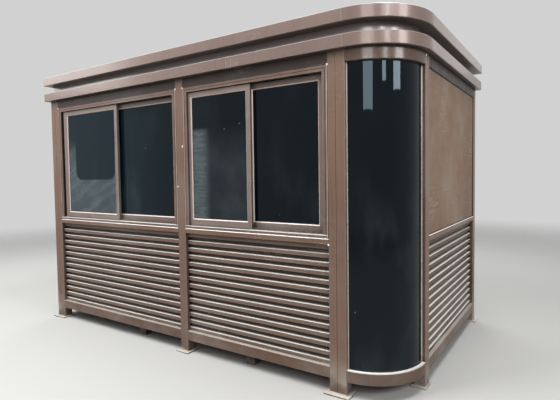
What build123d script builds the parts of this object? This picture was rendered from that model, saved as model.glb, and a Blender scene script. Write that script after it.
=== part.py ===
from build123d import *
from math import sqrt
import os

# A guard booth: a frame of square steel tube with louvred lower walls, flat upper panels,
# sliding windows, one curved glass corner at the front right and a two-tier cornice.
# Millimetres. The origin is the middle of the footprint at ground level.
# X runs right along the front, Y runs from front to back and Z is up.

os.makedirs("parts", exist_ok=True)

# Body, measured over the posts
body_length = 3900.0
body_width = 2200.0
overall_height = 2600.0

# Square tube frame
tube_size = 85.0
tube_wall = 3.0
tube_corner_cut = 4.0
corner_post_width = 70.0
inner_post_width = 60.0
base_plate_thickness = 10.0
base_plate_margin = 28.0
base_plate_front_lip = 38.0
base_plate_side_lip = 10.0
base_plate_inner_lip = 15.0

# Levels above the ground
rail_bottom = 105.0
rail_top = 190.0
sill_top = 1080.0
sill_beam_height = 43.0
header_height = 85.0

# Bays along the front and the back
front_middle_post_start = 1905.0
back_panel_bay_width = 840.0
door_bay_width = 900.0

# Curved corner
corner_radius = 415.0
corner_glass_setback = 30.0
corner_glass_thickness = 10.0
corner_bead_size = 5.0

# Louvre cladding: pressed sheet with level ledges
louvre_slats = 14
slat_face_height = 33.0
slat_setback = 27.0
slat_depth = 25.0
ledge_fall = 4.0
slat_nose_cut = 2.0
sheet_thickness = 2.0

# Flat panels and inner linings
panel_setback = 10.0
panel_return = 22.0
lining_thickness = 8.0

# Floor
deck_thickness = 18.0
joist_width = 80.0
joist_count = 5
foot_size = 80.0

# Sliding windows
frame_setback = 3.0
jamb_lip = 42.0
head_lip = 38.0
track_lip = 24.0
track_groove_inset = 11.0
lip_thickness = 12.0
jamb_body = 18.0
track_floor = 10.0
roller_rail_height = 22.0
roller_rail_thickness = 6.0
parting_lip = 34.0
parting_height = 38.0
parting_thickness = 6.0
jamb_groove_inset = 16.0
jamb_groove_width = 7.0
jamb_groove_depth = 4.0
sash_thickness = 24.0
sash_jamb_stile = 66.0
sash_meeting_stile = 45.0
sash_top_rail = 44.0
sash_bottom_rail = 54.0
sash_head_gap = 7.0
sash_gap = 1.0
inner_sash_stop = 15.0
left_sash_ajar = 56.0
pane_thickness = 6.0
pane_groove = 8.0
glazing_slope = 7.0

# Door
door_frame_width = 40.0
door_frame_setback = 5.0
door_setback = 22.0
door_thickness = 45.0
door_gap = 3.0
door_panel_relief = 5.0
door_panel_border = 110.0
door_mid_rail = 120.0
handle_height = 1050.0
handle_edge_distance = 62.0
handle_plate_width = 42.0
handle_plate_height = 220.0
handle_plate_thickness = 6.0
lever_width = 20.0
lever_thickness = 10.0
lever_bend_radius = 18.0
lever_reach = 48.0
lever_length = 115.0
hinge_height = 100.0
hinge_radius = 7.0
hinge_end_distance = 190.0

# Cornice and roof
band_height = 85.0
lower_band_overhang = 45.0
upper_band_overhang = 50.0
groove_height = 80.0
groove_setback = 55.0
groove_left_reach = 40.0
cornice_sheet = 3.0
band_edge_cut = 4.0
ceiling_thickness = 15.0
roof_thickness = 50.0

# Derived places
left = -body_length / 2
right = body_length / 2
front = -body_width / 2
back = body_width / 2
corner_x = right - corner_radius
corner_y = front + corner_radius
sill_bottom = sill_top - sill_beam_height
upper_band_bottom = overall_height - band_height
lower_band_bottom = upper_band_bottom - groove_height - band_height
lower_band_top = lower_band_bottom + band_height
header_top = lower_band_bottom
header_bottom = header_top - header_height
double_post = corner_post_width + inner_post_width


# Each wall has its own frame: x to the right seen from outside, y inwards, z up.
# Its origin is the left end of the wall's outer face at ground level.
walls = {
    "front": Location((left, front, 0), (0, 0, 0)),
    "right": Location((right, front, 0), (0, 0, 90)),
    "back": Location((right, back, 0), (0, 0, 180)),
    "left": Location((left, back, 0), (0, 0, 270)),
}

# Bays as (start, end) along each wall
front_bays = {
    "left": (double_post, front_middle_post_start),
    "right": (front_middle_post_start + tube_size, body_length - corner_radius - double_post),
}
right_bay = (corner_radius + tube_size, body_width - tube_size)
left_bay = (tube_size, body_width - tube_size)
door_post_start = tube_size + back_panel_bay_width
door_bay = (door_post_start + tube_size, door_post_start + tube_size + door_bay_width)
back_panel_bay = (tube_size, door_post_start)
back_window_bay = (door_bay[1] + tube_size, body_length - tube_size)

made = {}


def keep(name, *solids):
    """Store the solids of one named piece."""
    made[name] = solids[0] if len(solids) == 1 else Compound(children=list(solids))


def block(x, y, z):
    """A box between the limits given as (low, high) pairs."""
    size = [high - low for low, high in (x, y, z)]
    centre = [(high + low) / 2 for low, high in (x, y, z)]
    return Pos(*centre) * Box(*size)


def middle(limits):
    """The middle of a (low, high) pair."""
    return (limits[0] + limits[1]) / 2


def cut_rectangle(width, height, cut):
    """A rectangle with its four corners cut at 45 degrees."""
    return chamfer(Rectangle(width, height).vertices(), cut)


def tube_section(width, height):
    """The section of a rectangular tube, centred on the origin.

    Its rounded corners are drawn as narrow flats, and the wall is as thick behind them.
    """
    bore_cut = tube_corner_cut - tube_wall * (2 - sqrt(2))
    bore = cut_rectangle(width - 2 * tube_wall, height - 2 * tube_wall, bore_cut)
    return cut_rectangle(width, height, tube_corner_cut) - bore


def upright(x, z):
    """A hollow post with its outer face on the wall plane."""
    section = tube_section(x[1] - x[0], tube_size)
    return Pos(middle(x), tube_size / 2, z[0]) * extrude(section, z[1] - z[0])


def beam(x, z):
    """A hollow beam between two posts, with its outer face on the wall plane."""
    section = Plane.YZ * tube_section(tube_size, z[1] - z[0])
    return Pos(x[0], tube_size / 2, middle(z)) * extrude(section, x[1] - x[0])


def corner_sector(outer_radius, inner_radius, z):
    """A quarter ring about the curved corner's centre, between two radii and two levels."""
    ring = Circle(outer_radius) - Circle(inner_radius)
    quarter = Pos(outer_radius / 2, -outer_radius / 2) * Rectangle(outer_radius, outer_radius)
    return Pos(corner_x, corner_y, z[0]) * extrude(ring & quarter, z[1] - z[0])


def curved_beam(z):
    """A hollow beam bent round the corner, flush with the posts beside it."""
    bend_line = Pos(corner_radius - tube_size / 2, middle(z))
    section = Plane.XZ * bend_line * tube_section(tube_size, z[1] - z[0])
    return Pos(corner_x, corner_y, 0) * Rot(0, 0, -90) * revolve(section, Axis.Z, 90)


def plan(offset):
    """The footprint with its one rounded corner, grown outwards by an offset."""
    x_low, x_high = left - offset, right + offset
    y_low, y_high = front - offset, back + offset
    outline = [
        Line((x_low, y_low), (corner_x, y_low)),
        CenterArc((corner_x, corner_y), corner_radius + offset, 270, 90),
        Line((x_high, corner_y), (x_high, y_high)),
        Line((x_high, y_high), (x_low, y_high)),
        Line((x_low, y_high), (x_low, y_low)),
    ]
    return make_face(outline)


def slab(offset, z):
    """The whole footprint between two levels."""
    return Pos(0, 0, z[0]) * extrude(plan(offset), z[1] - z[0])


# Posts
post_levels = (base_plate_thickness, header_top)
mid_post = (front_middle_post_start, front_middle_post_start + tube_size)
arc_start = body_length - corner_radius
front_posts = {
    "front_left_post": (0, corner_post_width),
    "front_left_inner_post": (corner_post_width, double_post),
    "front_middle_post": mid_post,
    "front_right_inner_post": (arc_start - double_post, arc_start - corner_post_width),
    "front_right_post": (arc_start - corner_post_width, arc_start),
}
side_post = (corner_radius, corner_radius + tube_size)
back_posts = [
    (0, tube_size),
    (door_post_start, door_post_start + tube_size),
    (door_bay[1], door_bay[1] + tube_size),
    (body_length - tube_size, body_length),
]
for name, x in front_posts.items():
    keep(name, walls["front"] * upright(x, post_levels))
keep("right_front_post", walls["right"] * upright(side_post, post_levels))
keep("back_posts", *[walls["back"] * upright(x, post_levels) for x in back_posts])

# Base plates, one under each post or pair of posts
plates = [
    ("front", (0, double_post)),
    ("front", mid_post),
    ("front", (arc_start - double_post, arc_start)),
    ("right", side_post),
    *[("back", x) for x in back_posts],
]
base_plates = []
for wall, x in plates:
    outer_lip = base_plate_side_lip if wall == "right" else base_plate_front_lip
    plate_x = (x[0] - base_plate_margin, x[1] + base_plate_margin)
    plate_y = (-outer_lip, tube_size + base_plate_inner_lip)
    base_plates.append(walls[wall] * block(plate_x, plate_y, (0, base_plate_thickness)))
keep("base_plates", *base_plates)


# Rails, sill beams and headers between the posts; the door bay has no sill beam
louvre_bays = {
    "front": [("front", front_bays["left"]), ("front", front_bays["right"])],
    "side": [("right", right_bay), ("left", left_bay)],
    "back": [("back", back_panel_bay), ("back", back_window_bay)],
}
rail_levels = (rail_bottom, rail_top)
sill_levels = (sill_bottom, sill_top)
header_levels = (header_bottom, header_top)
for name, bays in louvre_bays.items():
    framed = bays + [("back", door_bay)] if name == "back" else bays
    keep(name + "_rails", *[walls[wall] * beam(x, rail_levels) for wall, x in framed])
    keep(name + "_sills", *[walls[wall] * beam(x, sill_levels) for wall, x in bays])
    keep(name + "_headers", *[walls[wall] * beam(x, header_levels) for wall, x in framed])
keep("corner_rail", curved_beam(rail_levels))
keep("corner_header", curved_beam(header_levels))


# Louvre cladding under every sill beam
recess_height = (sill_bottom - rail_top - louvre_slats * slat_face_height) / (louvre_slats - 1)
slat_pitch = slat_face_height + recess_height


def louvre(x):
    """A pressed sheet whose section steps in under each slat and out again at its foot.

    The outer corners run foot, head, foot, head up the section, so every second one is a nose.
    """
    face, recess = slat_setback, slat_setback + slat_depth
    t = sheet_thickness
    outer, inner = [], []
    for slat in range(louvre_slats):
        foot = rail_top + slat * slat_pitch
        head = foot + slat_face_height
        first, last = slat == 0, slat == louvre_slats - 1
        if not first:
            outer.append((recess, foot))
            inner.append((recess + t, foot + t))
        outer.append((face, foot))
        inner.append((face + t, foot if first else foot + t))
        if last:
            outer.append((face, head))
            inner.append((face + t, head))
        else:
            outer.append((face, head - ledge_fall))
            outer.append((recess, head))
            inner.append((face + t, head - ledge_fall - t))
            inner.append((recess + t, head - t))
    section = make_face(Polyline(*outer, *reversed(inner), close=True))
    outer_corners = section.vertices().group_by(Axis.X)[0].sort_by(Axis.Y)
    section = chamfer(outer_corners[1:-1:2], slat_nose_cut)
    sheet = extrude(Plane.YZ * section, x[1] - x[0])
    return Pos(x[0], 0, 0) * sheet


keep("front_left_louvre", walls["front"] * louvre(front_bays["left"]))
keep("front_right_louvre", walls["front"] * louvre(front_bays["right"]))
keep("side_louvres", *[walls[wall] * louvre(x) for wall, x in louvre_bays["side"]])
keep("back_louvres", *[walls[wall] * louvre(x) for wall, x in louvre_bays["back"]])


# Flat upper panels: trays with their edges returned inwards
def tray(x, z):
    """A flat sheet with a return on its four edges, open at the back."""
    t = sheet_thickness
    y = (panel_setback, panel_setback + panel_return)
    hollow = block((x[0] + t, x[1] - t), (y[0] + t, y[1]), (z[0] + t, z[1] - t))
    return block(x, y, z) - hollow


upper_levels = (sill_top, header_bottom)
panel_bays = [("right", right_bay), ("left", left_bay), ("back", back_panel_bay)]
keep("wall_panels", *[walls[wall] * tray(x, upper_levels) for wall, x in panel_bays])


# Inner linings, flush with the inside of the posts
lining_y = (tube_size - lining_thickness, tube_size)


def lining(x, z):
    """A board on the inside of a bay."""
    return block(x, lining_y, z)


lower_levels = (rail_top, sill_bottom)
lower_bays = [bay for bays in louvre_bays.values() for bay in bays]
lower_linings = [walls[wall] * lining(x, lower_levels) for wall, x in lower_bays]
upper_linings = [walls[wall] * lining(x, upper_levels) for wall, x in panel_bays]
keep("inner_linings", *lower_linings, *upper_linings)


# Floor: joists between the front and back rails, a deck on them and feet under them
joist_x = [left + body_length * (i + 1) / (joist_count + 1) for i in range(joist_count)]
joist_span = (front + tube_size, back - tube_size)
deck_bottom = rail_top - deck_thickness
joist_section = Plane.XZ * tube_section(joist_width, deck_bottom - rail_bottom)
joist = extrude(joist_section, joist_span[1] - joist_span[0])
joist_level = middle((rail_bottom, deck_bottom))
keep("floor_joists", *[Pos(x, joist_span[1], joist_level) * joist for x in joist_x])

foot = extrude(tube_section(foot_size, foot_size), rail_bottom)
foot_y = (joist_span[0] + foot_size / 2, joist_span[1] - foot_size / 2)
foot_places = [(x, y) for x in (joist_x[1], joist_x[-2]) for y in foot_y]
keep("joist_feet", *[Pos(x, y, 0) * foot for x, y in foot_places])

keep("floor_deck", slab(-tube_size, (deck_bottom, rail_top)))


# Curved corner glass with its beads
glass_radius = corner_radius - corner_glass_setback
corner_levels = (rail_top, header_bottom)
keep("corner_glass", corner_sector(glass_radius, glass_radius - corner_glass_thickness, corner_levels))
bead_depth = corner_glass_setback - corner_bead_size
front_bead = block(
    (corner_x, corner_x + corner_bead_size),
    (front + bead_depth, front + corner_glass_setback),
    corner_levels,
)
side_bead = block(
    (right - corner_glass_setback, right - bead_depth),
    (corner_y - corner_bead_size, corner_y),
    corner_levels,
)
round_glass = corner_sector(glass_radius, glass_radius - corner_glass_thickness, corner_levels)
keep("corner_glass_beads", front_bead - round_glass, side_bead - round_glass)


# Sliding windows
def frame_ring(outer, inner_margins, y):
    """A rectangular ring: outer is (x, z) limits, margins are left and right, bottom, top."""
    (x_low, x_high), (z_low, z_high) = outer
    side, bottom, top = inner_margins
    hole = block((x_low + side, x_high - side), y, (z_low + bottom, z_high - top))
    return block((x_low, x_high), y, (z_low, z_high)) - hole


frame_back = tube_size - frame_setback
lip_back = frame_setback + lip_thickness
outer_sash_front = lip_back + sash_gap * 2
outer_sash_back = outer_sash_front + sash_thickness
parting_front = outer_sash_back + sash_gap * 2
parting_back = parting_front + parting_thickness
inner_sash_front = parting_back + sash_gap * 2


def window_frame(x, z):
    """The fixed frame: outer lip, body, a thin rib between two tracks and a rail in each track.

    A shadow groove runs all round the lip.
    """
    outer = (x, z)
    lip = frame_ring(outer, (jamb_lip, track_lip, head_lip), (frame_setback, lip_back))
    body = frame_ring(outer, (jamb_body, track_floor, track_floor), (lip_back, frame_back))
    rib = frame_ring(outer, (parting_lip, parting_height, head_lip), (parting_front, parting_back))
    frame = lip + body + rib
    for track_front in (outer_sash_front, inner_sash_front):
        rail_front = track_front + (sash_thickness - roller_rail_thickness) / 2
        frame += block(
            (x[0] + jamb_body, x[1] - jamb_body),
            (rail_front, rail_front + roller_rail_thickness),
            (z[0] + track_floor, z[0] + track_floor + roller_rail_height),
        )
    groove_x = (x[0] + jamb_groove_inset, x[1] - jamb_groove_inset)
    groove_z = (z[0] + track_groove_inset, z[1] - jamb_groove_inset)
    groove_y = (frame_setback, frame_setback + jamb_groove_depth)
    return frame - frame_ring((groove_x, groove_z), [jamb_groove_width] * 3, groove_y)


def sash_opening(x, z, stiles):
    """The opening between the stiles and rails of a sash."""
    return (x[0] + stiles[0], x[1] - stiles[1]), (z[0] + sash_bottom_rail, z[1] - sash_top_rail)


def sash(x, z, stiles, front_y):
    """One sliding sash with a groove for its pane and glazing edges that slope to the glass."""
    y = (front_y, front_y + sash_thickness)
    open_x, open_z = sash_opening(x, z, stiles)
    body = block(x, y, z) - block(open_x, y, open_z)
    faces = body.faces().sort_by(Axis.Y)
    hole_edges = [edge for face in (faces[0], faces[-1]) for edge in face.inner_wires()[0].edges()]
    return chamfer(hole_edges, glazing_slope) - pane(x, z, stiles, front_y)


def pane(x, z, stiles, front_y):
    """The glass of one sash, let into its groove."""
    glass_front = front_y + (sash_thickness - pane_thickness) / 2
    open_x, open_z = sash_opening(x, z, stiles)
    glass_x = (open_x[0] - pane_groove, open_x[1] + pane_groove)
    glass_z = (open_z[0] - pane_groove, open_z[1] + pane_groove)
    return block(glass_x, (glass_front, glass_front + pane_thickness), glass_z)


def window(prefix, wall, bay, ajar=0.0):
    """A two-track window that fills a bay from sill to header; the left sash runs outside.

    Both sashes are as wide and stand on the rails. Ajar is how far the outer one is slid open.
    """
    place = walls[wall]
    keep(prefix + "_frame", place * window_frame(bay, upper_levels))
    clear = (bay[0] + jamb_body + sash_gap, bay[1] - jamb_body - sash_gap - inner_sash_stop)
    meeting = (middle(clear) - sash_meeting_stile / 2, middle(clear) + sash_meeting_stile / 2)
    foot = sill_top + track_floor + roller_rail_height
    sash_z = (foot, header_bottom - head_lip - sash_head_gap)
    stiles = (sash_jamb_stile, sash_meeting_stile)
    sashes = [
        ((clear[0] + ajar, meeting[1] + ajar), sash_z, stiles, outer_sash_front),
        ((meeting[0], clear[1]), sash_z, stiles[::-1], inner_sash_front),
    ]
    keep(prefix + "_sashes", *[place * sash(*limits) for limits in sashes])
    return [place * pane(*limits) for limits in sashes]


window_glass = window("left_window", "front", front_bays["left"], left_sash_ajar)
window_glass += window("right_window", "front", front_bays["right"])
window_glass += window("back_window", "back", back_window_bay)
keep("window_glass", *window_glass)


# Door in the back wall, shut
def door_parts():
    """The frame, the leaf with two sunk fields on each face, and the lever handles."""
    x, z = door_bay, (rail_top, header_bottom)
    frame_y = (door_frame_setback, tube_size - door_frame_setback)
    frame = frame_ring((x, z), (door_frame_width, 0, door_frame_width), frame_y)
    leaf_x = (x[0] + door_frame_width + door_gap, x[1] - door_frame_width - door_gap)
    leaf_z = (z[0] + door_gap, z[1] - door_frame_width - door_gap)
    leaf_y = (door_setback, door_setback + door_thickness)
    leaf = block(leaf_x, leaf_y, leaf_z)
    field_x = (leaf_x[0] + door_panel_border, leaf_x[1] - door_panel_border)
    fields = [
        (leaf_z[0] + door_panel_border, handle_height - door_mid_rail / 2),
        (handle_height + door_mid_rail / 2, leaf_z[1] - door_panel_border),
    ]
    for field_z in fields:
        leaf -= block(field_x, (leaf_y[0], leaf_y[0] + door_panel_relief), field_z)
        leaf -= block(field_x, (leaf_y[1] - door_panel_relief, leaf_y[1]), field_z)
    return frame, leaf, leaf_x, leaf_y, leaf_z


def lever_handle(centre_x, face_y, outwards):
    """A plate, a short neck and a lever that points to the middle of the door."""
    low, high = sorted((face_y, face_y + outwards * handle_plate_thickness))
    half = handle_plate_width / 2
    plate_z = (handle_height - handle_plate_height / 2, handle_height + handle_plate_height / 2)
    plate = block((centre_x - half, centre_x + half), (low, high), plate_z)
    start = Vector(centre_x, face_y, handle_height)
    knee = start + Vector(0, outwards * lever_reach, 0)
    end = knee + Vector(lever_length, 0, 0)
    path = FilletPolyline(start, knee, end, radius=lever_bend_radius)
    neck_plane = Plane(origin=start, x_dir=(1, 0, 0), z_dir=(0, outwards, 0))
    section = neck_plane * Rectangle(lever_thickness, lever_width)
    return plate + sweep(section, path=path)


def hinge(edge_x, leaf_y, level):
    """A butt hinge: its leaves fill the gap beside the door and its barrel lies on the frame."""
    z = (level - hinge_height / 2, level + hinge_height / 2)
    barrel_y = door_frame_setback - hinge_radius
    leaves = block((edge_x, edge_x + door_gap), (barrel_y, leaf_y[1]), z)
    barrel = Pos(edge_x + door_gap / 2, barrel_y, level) * Cylinder(hinge_radius, hinge_height)
    return leaves + barrel


frame, leaf, leaf_x, leaf_y, leaf_z = door_parts()
hinge_levels = (leaf_z[0] + hinge_end_distance, middle(leaf_z), leaf_z[1] - hinge_end_distance)
keep("door_frame", walls["back"] * frame)
keep("door_leaf", walls["back"] * leaf)
keep("door_hinges", *[walls["back"] * hinge(leaf_x[1], leaf_y, level) for level in hinge_levels])
handle_x = leaf_x[0] + handle_edge_distance
keep(
    "door_handles",
    walls["back"] * lever_handle(handle_x, leaf_y[0], -1),
    walls["back"] * lever_handle(handle_x, leaf_y[1], 1),
)


# Cornice, ceiling and roof
def band(overhang, z):
    """A folded band: a face with narrow edge flats and flanges that run in over the frame."""
    t = cornice_sheet
    outside = slab(overhang, z)
    ends = outside.faces().sort_by(Axis.Z)
    outside = chamfer(ends[0].edges() + ends[-1].edges(), band_edge_cut)
    cavity = slab(overhang - t, (z[0] + t, z[1] - t))
    return outside - cavity - slab(-tube_size, z)


def groove_plan(inset):
    """The footprint of the recess between the bands; its left side stands further out."""
    x = (left - groove_left_reach + inset - groove_setback, 0)
    y = (front + inset, back - inset)
    left_part = Pos(middle(x), middle(y)) * Rectangle(x[1] - x[0], y[1] - y[0])
    return plan(-inset) + left_part


keep("lower_cornice", band(lower_band_overhang, (lower_band_bottom, lower_band_top)))
keep("upper_cornice", band(upper_band_overhang, (upper_band_bottom, overall_height)))
groove_sheet = groove_plan(groove_setback) - groove_plan(groove_setback + cornice_sheet)
keep("cornice_groove", Pos(0, 0, lower_band_top) * extrude(groove_sheet, groove_height))
ceiling_bottom = lower_band_bottom + cornice_sheet
keep("ceiling", slab(0, (ceiling_bottom, ceiling_bottom + ceiling_thickness)))
roof_bottom = upper_band_bottom + cornice_sheet
keep("roof", slab(0, (roof_bottom, roof_bottom + roof_thickness)))


for name, piece in made.items():
    piece.label = name
    export_step(piece, os.path.join("parts", name + ".step"))
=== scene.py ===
from math import cos, pi, radians, sin

import bmesh
import bpy
import numpy as np
from mathutils import Matrix, Vector


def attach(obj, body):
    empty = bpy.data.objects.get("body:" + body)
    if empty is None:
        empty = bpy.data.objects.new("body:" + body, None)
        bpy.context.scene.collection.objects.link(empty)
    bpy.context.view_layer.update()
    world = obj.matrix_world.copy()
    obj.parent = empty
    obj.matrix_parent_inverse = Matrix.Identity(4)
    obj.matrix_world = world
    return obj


# The looks of a guard booth: coated brown metal, tinted glass, seals, welds and trim.
# Metres, in the same frame as the solids: X to the right along the front, Y to the back, Z up.

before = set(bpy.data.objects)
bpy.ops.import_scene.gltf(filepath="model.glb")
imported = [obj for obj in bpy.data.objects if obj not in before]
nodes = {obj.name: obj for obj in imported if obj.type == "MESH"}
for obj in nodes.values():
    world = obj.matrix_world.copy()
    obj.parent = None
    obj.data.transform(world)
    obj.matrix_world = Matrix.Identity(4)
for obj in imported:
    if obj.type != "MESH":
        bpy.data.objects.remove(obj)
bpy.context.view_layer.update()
scene = bpy.context.scene

# Body and levels
HALF_LENGTH = 1.95
HALF_WIDTH = 1.1
LENGTH = 2 * HALF_LENGTH
TUBE = 0.085
CORNER_RADIUS = 0.415
GLASS_RADIUS = 0.385
CORNER_X = HALF_LENGTH - CORNER_RADIUS
CORNER_Y = CORNER_RADIUS - HALF_WIDTH
CURVE_START = LENGTH - CORNER_RADIUS
PLATE_TOP = 0.01
RAIL_TOP = 0.19
SILL_BOTTOM = 1.037
SILL_TOP = 1.08
HEADER_BOTTOM = 2.265
HEADER_TOP = 2.35

# Cornice bands as (overhang, (bottom, top)), and the roof sheet between them
LOWER_BAND = (0.045, (HEADER_TOP, 2.435))
UPPER_BAND = (0.050, (2.515, 2.6))
BAND_EDGE_CUT = 0.004
ROOF_TOP = 2.568

# Bays as (start, end) along a wall, from its left end seen from outside
LEFT_BAY = (0.130, 1.905)
RIGHT_BAY = (1.990, 3.355)
SIDE_BAY = (0.500, 2.115)
FAR_SIDE_BAY = (0.085, 2.115)
BACK_PANEL_BAY = (0.085, 0.925)
DOOR_BAY = (1.010, 1.910)
BACK_WINDOW_BAY = (1.995, 3.815)
LOUVRE_BAYS = [
    ("front", LEFT_BAY),
    ("front", RIGHT_BAY),
    ("right", SIDE_BAY),
    ("left", FAR_SIDE_BAY),
    ("back", BACK_PANEL_BAY),
    ("back", BACK_WINDOW_BAY),
]
PANEL_BAYS = [("right", SIDE_BAY), ("left", FAR_SIDE_BAY), ("back", BACK_PANEL_BAY)]

# Louvre slats: how deep their faces and recesses lie behind the wall face
SLAT_FACE = 0.027
SLAT_RECESS = 0.052

# Posts as (wall, start, end), with doubled posts as one
POSTS = [
    ("front", 0.0, LEFT_BAY[0]),
    ("front", LEFT_BAY[1], RIGHT_BAY[0]),
    ("front", RIGHT_BAY[1], CURVE_START),
    ("right", CORNER_RADIUS, SIDE_BAY[0]),
    ("back", 0.0, BACK_PANEL_BAY[0]),
    ("back", BACK_PANEL_BAY[1], DOOR_BAY[0]),
    ("back", DOOR_BAY[1], BACK_WINDOW_BAY[0]),
    ("back", BACK_WINDOW_BAY[1], LENGTH),
]

# Sliding windows: (wall, bay, how far the outer sash stands open)
WINDOWS = [("front", LEFT_BAY, 0.056), ("front", RIGHT_BAY, 0.0), ("back", BACK_WINDOW_BAY, 0.0)]
FRAME_FACE = 0.003
FRAME_LIP_TOP = 1.104
JAMB_LIP = 0.042
JAMB_BODY = 0.018
LIP_BACK = 0.015
HEAD_LIP = 0.038
TRACK_FRONTS = (0.017, 0.051)
TRACK_LIP = 0.024
SASH_CLEARANCE = 0.001
SASH_STOP = 0.015
SASH_JAMB_STILE = 0.066
SASH_MEETING_STILE = 0.045
SASH_BOTTOM_RAIL = 0.054
SASH_TOP_RAIL = 0.044
SASH_THICKNESS = 0.024
SASH_BOTTOM = 1.112
SASH_TOP = 2.220
PANE_THICKNESS = 0.006

# Door
DOOR_FRAME_WIDTH = 0.040
DOOR_GAP = 0.003
DOOR_SETBACK = 0.022
DOOR_THICKNESS = 0.045
HANDLE_EDGE_DISTANCE = 0.062
HANDLE_PLATE_THICKNESS = 0.006
LOCK_HEIGHT = 0.985

# Camera, fitted to the photograph's edges
CAMERA_PLACE = (2.82559, -3.86531, 1.52593)
CAMERA_YAW = 33.9217
CAMERA_PITCH = 2.6404
CAMERA_ROLL = -0.8252
CAMERA_LENS = 29.0528
SENSOR_WIDTH = 36.0
CAMERA_SHIFT = (0.00952, -0.00802)

# Colours of coats, boards, seals and glass
BOOTH_BROWN = (0.165, 0.102, 0.074)
CORNICE_BROWN = (0.175, 0.124, 0.106)
WINDOW_BROWN = (0.165, 0.105, 0.082)
SASH_BROWN = (0.198, 0.153, 0.137)
LOUVRE_BROWN = (0.165, 0.110, 0.086)
PANEL_BROWN = (0.188, 0.121, 0.079)
GROOVE_BROWN = (0.190, 0.160, 0.155)
# The headers' brown is near black, as painted shade under the cornice's overhang
SHADED_HEADER_BROWN = (0.046, 0.036, 0.032)
STEEL_BROWN = (0.150, 0.110, 0.092)
ROOF_BROWN = (0.250, 0.195, 0.170)
BEAD_SILVER = (0.84, 0.79, 0.75)
HANDLE_GREY = (0.58, 0.57, 0.55)
WELD_BROWN = (0.26, 0.21, 0.18)
LINING_WHITE = (0.74, 0.73, 0.70)
CEILING_WHITE = (0.78, 0.78, 0.76)
BOARD_DARK = (0.33, 0.27, 0.21)
BOARD_LIGHT = (0.47, 0.40, 0.33)
FILLER_PALE = (0.74, 0.70, 0.66)
FILLER_BROWN = (0.42, 0.36, 0.32)
SEAL_BLACK = (0.006, 0.006, 0.007)
GLASS_TINT = (0.0004, 0.0015, 0.0030)
LEFT_GLASS_REFLECTION_TINT = (0.002, 0.0100, 0.0160)
GLASS_REFLECTION = (0.66, 0.88, 1.0, 1.0)
GLASS_FILM_AND_REFLECTION = (0.240, 0.290, 0.310)

# Colours of dust and worn edges, and of painted shade and painted highlights
DUST = (0.560, 0.520, 0.470)
PALE_DUST_AND_HIGHLIGHT = (0.800, 0.780, 0.750)
FRONT_DUST_AND_HIGHLIGHT = (0.570, 0.545, 0.515)
# Near black, for painted shade
PAINTED_SHADE = (0.030, 0.024, 0.021)
BARE_EDGE_AND_HIGHLIGHT = (0.680, 0.580, 0.530)


def wall_place(x, y, turn):
    """A wall's place: its origin, turned about the vertical by a number of degrees."""
    return np.array(Matrix.Translation((x, y, 0)) @ Matrix.Rotation(radians(turn), 4, "Z"))


WALLS = {
    "front": wall_place(-HALF_LENGTH, -HALF_WIDTH, 0),
    "right": wall_place(HALF_LENGTH, -HALF_WIDTH, 90),
    "back": wall_place(HALF_LENGTH, HALF_WIDTH, 180),
    "left": wall_place(-HALF_LENGTH, HALF_WIDTH, 270),
}


def on_wall(wall, points):
    """Points given along a wall, inwards and up, moved to the booth's frame."""
    place = WALLS[wall]
    return np.asarray(points) @ place[:3, :3].T + place[:3, 3]


# Shader building

def add(tree, kind, inputs=(), **settings):
    """A node with its settings; an input gets a value, or a link when a socket is given."""
    node = tree.nodes.new("ShaderNode" + kind)
    for name, value in settings.items():
        setattr(node, name, value)
    for key, value in dict(inputs).items():
        if isinstance(value, bpy.types.NodeSocket):
            tree.links.new(value, node.inputs[key])
        else:
            node.inputs[key].default_value = value
    return node


def math(tree, operation, *values, clamp=False):
    """The result of a Math node."""
    return add(tree, "Math", enumerate(values), operation=operation, use_clamp=clamp).outputs[0]


def product(tree, value, *factors):
    """Values multiplied with each other."""
    for factor in factors:
        value = math(tree, "MULTIPLY", value, factor)
    return value


def between(tree, value, low, high):
    """One where a value lies between two limits, else zero."""
    return math(tree, "COMPARE", value, (low + high) / 2, (high - low) / 2)


def vector_math(tree, operation, *values):
    """The vector result of a Vector Math node."""
    return add(tree, "VectorMath", enumerate(values), operation=operation).outputs[0]


def vector_length(tree, vector):
    """A vector's length."""
    return add(tree, "VectorMath", {0: vector}, operation="LENGTH").outputs[1]


def separate(tree, vector):
    """A vector's three parts."""
    return add(tree, "SeparateXYZ", {0: vector}).outputs


def ramp(tree, value, low, high, start=0.0, end=1.0):
    """A smooth step of a value from one limit to the other."""
    inputs = {0: value, 1: low, 2: high, 3: start, 4: end}
    return add(tree, "MapRange", inputs, interpolation_type="SMOOTHSTEP").outputs[0]


def colour_mix(tree, factor, first, second):
    """The first colour going over to the second one by a factor."""
    first, second = (c if isinstance(c, bpy.types.NodeSocket) else (*c, 1) for c in (first, second))
    return add(tree, "Mix", {0: factor, 6: first, 7: second}, data_type="RGBA").outputs[2]


def shade(colour, level):
    """A colour made lighter or darker by a plain factor."""
    return tuple(channel * level for channel in colour)


def group(name, inputs, outputs=("Mask",)):
    """A new node group with its sockets: the tree, its input node's outputs and its output node."""
    tree = bpy.data.node_groups.new(name, "ShaderNodeTree")
    for label, value in inputs.items():
        kind = "NodeSocketVector" if isinstance(value, tuple) else "NodeSocketFloat"
        socket = tree.interface.new_socket(label, in_out="INPUT", socket_type=kind)
        socket.default_value = value
    for label in outputs:
        tree.interface.new_socket(label, in_out="OUTPUT", socket_type="NodeSocketFloat")
    return tree, tree.nodes.new("NodeGroupInput").outputs, tree.nodes.new("NodeGroupOutput")


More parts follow.
